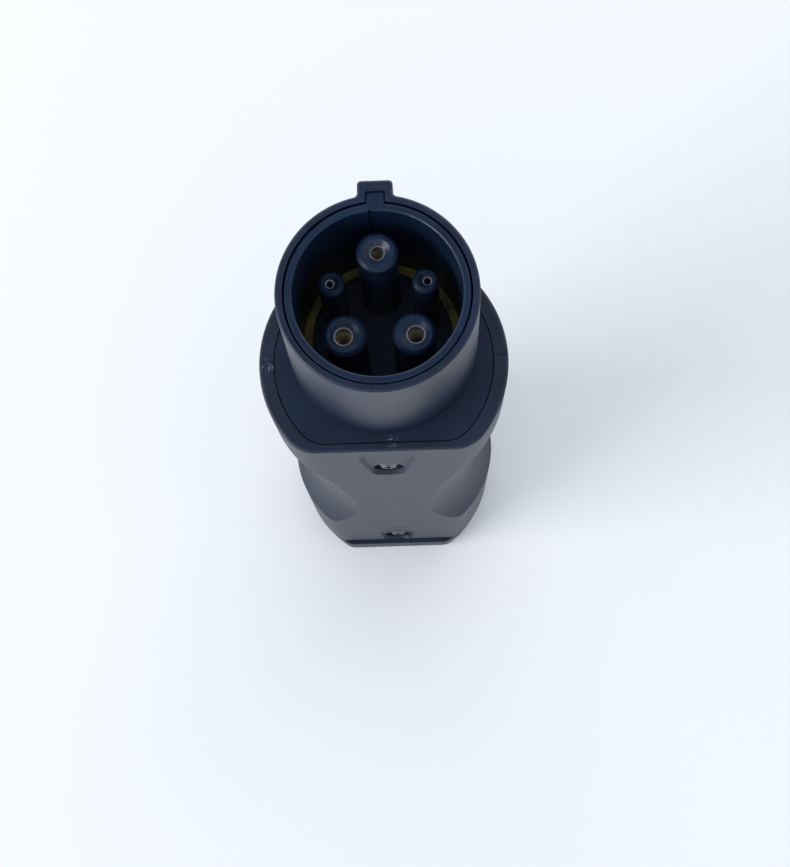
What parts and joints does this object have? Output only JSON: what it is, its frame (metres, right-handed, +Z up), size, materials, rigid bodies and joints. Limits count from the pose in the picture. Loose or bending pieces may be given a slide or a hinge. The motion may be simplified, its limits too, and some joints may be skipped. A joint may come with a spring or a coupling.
{
  "type": "ev charging adapter",
  "caption": "Hand-size charging adapter: round five-socket plug above, five-pin inlet below, black two-part body with finger scoops.",
  "frame": {"origin": "On the nozzle's axis, in the plane that the adapter stands on", "axes": "+Z runs up the nozzle's axis, -Y is the flat front with the two screws, +X is the right side seen from the front"},
  "size_m": [0.0576, 0.0516, 0.166],
  "materials": {
    "body_plastic": "fine moulded texture, black",
    "nozzle_plastic": "smooth black moulding",
    "insulator_plastic": "glass-filled black moulding",
    "retainer_plastic": "dark grey moulding",
    "gasket_rubber": "olive yellow silicone",
    "contact_silver": "silver plated copper alloy",
    "spring_gold": "gold coloured spring bronze",
    "screw_steel": "zinc plated",
    "wire_sleeve_orange": "silicone insulation",
    "wire_sleeve_green": "silicone insulation",
    "wire_sleeve_white": "silicone insulation",
    "resistor_body": "lacquered resistor"
  },
  "bodies": {
    "root": {"front_shell": "body_plastic", "back_shell": "body_plastic", "nozzle_housing": "nozzle_plastic", "contact_carrier": "insulator_plastic", "inlet_housing": "body_plastic", "cavity_gasket": "gasket_rubber", "line_socket_1": "contact_silver", "line_socket_2": "contact_silver", "ground_socket": "contact_silver", "pilot_socket": "contact_silver", "proximity_socket": "contact_silver", "line_crown_spring_1": "spring_gold", "line_crown_spring_2": "spring_gold", "ground_crown_spring": "spring_gold", "contact_retainer": "retainer_plastic", "retainer_screws": "screw_steel", "body_screws": "screw_steel", "inlet_power_pin_1": "contact_silver", "inlet_power_pin_2": "contact_silver", "inlet_ground_pin": "contact_silver", "inlet_pilot_pin": "contact_silver", "inlet_proximity_pin": "contact_silver", "inlet_power_pin_tip_1": "insulator_plastic", "inlet_power_pin_tip_2": "insulator_plastic", "pin_retainer": "retainer_plastic", "pin_retainer_screws": "screw_steel", "line_wire_1": "wire_sleeve_orange", "line_wire_2": "wire_sleeve_orange", "ground_wire": "wire_sleeve_green", "pilot_wire": "wire_sleeve_white", "proximity_wire": "wire_sleeve_white", "proximity_resistor": "resistor_body"}
  },
  "joints": []
}
